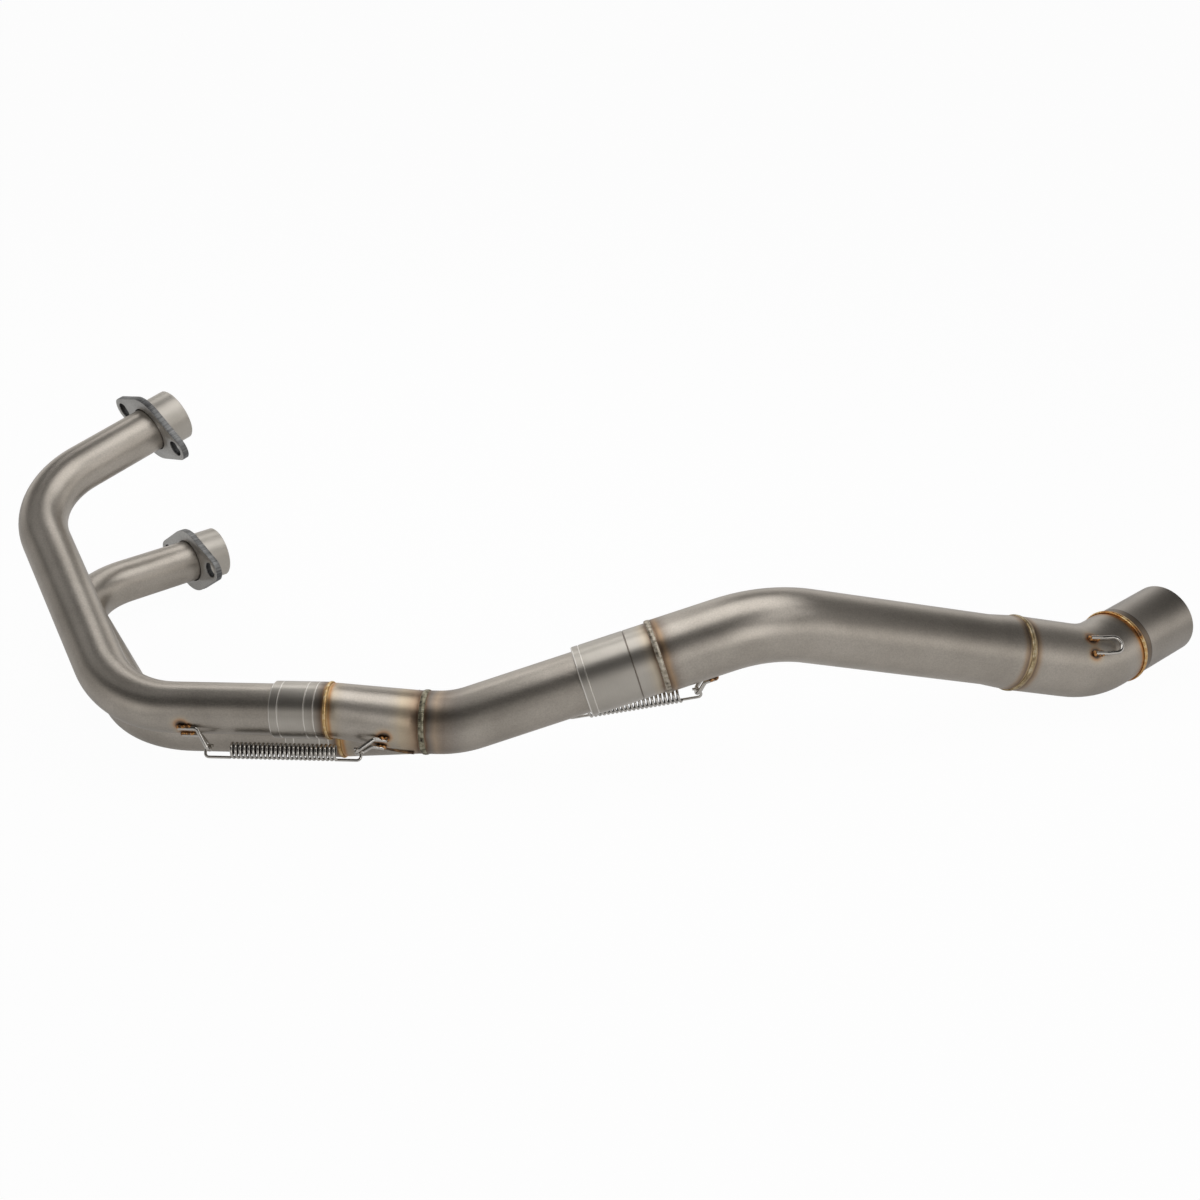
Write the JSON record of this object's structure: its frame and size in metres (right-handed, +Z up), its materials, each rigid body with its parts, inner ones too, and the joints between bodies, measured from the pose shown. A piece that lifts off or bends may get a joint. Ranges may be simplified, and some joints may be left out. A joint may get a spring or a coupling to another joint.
{
  "type": "motorcycle exhaust header",
  "caption": "Two-into-one motorcycle exhaust header: bent pipes with loose oval port flanges, sprung slip joints, merge collector, link pipe, elbow and tail spigot.",
  "frame": {"origin": "centre of the box at the floor it lies on, on its right side", "axes": "+X from the cylinder ports towards the tail, +Y the way the ports look, +Z up as it lies"},
  "size_m": [0.8477, 0.3194, 0.1706],
  "materials": {
    "tube_steel": "satin brushed stainless tube, warm grey",
    "turned_steel": "fine turned stainless",
    "flange_steel": "grey plate with rough cut edges",
    "weld_metal": "rippled bead with straw and bronze heat tint",
    "spring_steel": "bright drawn wire",
    "wire_steel": "bright wire with dark tack welds"
  },
  "bodies": {
    "pipework": {"collector_seam": "weld_metal", "collector_weld": "weld_metal", "elbow": "tube_steel", "elbow_weld": "weld_metal", "left_collector_branch": "tube_steel", "left_collector_hook": "wire_steel", "left_collector_sleeve": "turned_steel", "left_header_hook": "wire_steel", "left_header_pipe": "tube_steel", "left_header_spring": "spring_steel", "left_port_collar": "turned_steel", "left_sleeve_weld": "weld_metal", "link_hook": "wire_steel", "link_pipe": "tube_steel", "link_sleeve": "turned_steel", "link_sleeve_weld": "weld_metal", "link_spring": "spring_steel", "outlet_hook": "wire_steel", "outlet_pipe": "tube_steel", "right_collector_branch": "tube_steel", "right_collector_hook": "wire_steel", "right_collector_sleeve": "turned_steel", "right_header_hook": "wire_steel", "right_header_pipe": "tube_steel", "right_header_spring": "spring_steel", "right_port_collar": "turned_steel", "right_sleeve_weld": "weld_metal", "tail_hook": "wire_steel", "tail_spigot": "tube_steel", "tail_weld": "weld_metal"},
    "left_swivel_flange": {"left_flange": "flange_steel"},
    "right_swivel_flange": {"right_flange": "flange_steel"}
  },
  "joints": [
    {"name": "left_flange_swivel", "type": "hinge", "parent": "pipework", "child": "left_swivel_flange", "pos_m": [-0.34857, 0.11684, 0.14581], "axis": [0.6667, 0.7075, 0.2345], "continuous": true},
    {"name": "right_flange_swivel", "type": "hinge", "parent": "pipework", "child": "right_swivel_flange", "pos_m": [-0.33781, 0.13025, 0.0262], "axis": [0.7502, 0.6612, 0.0024], "continuous": true}
  ]
}
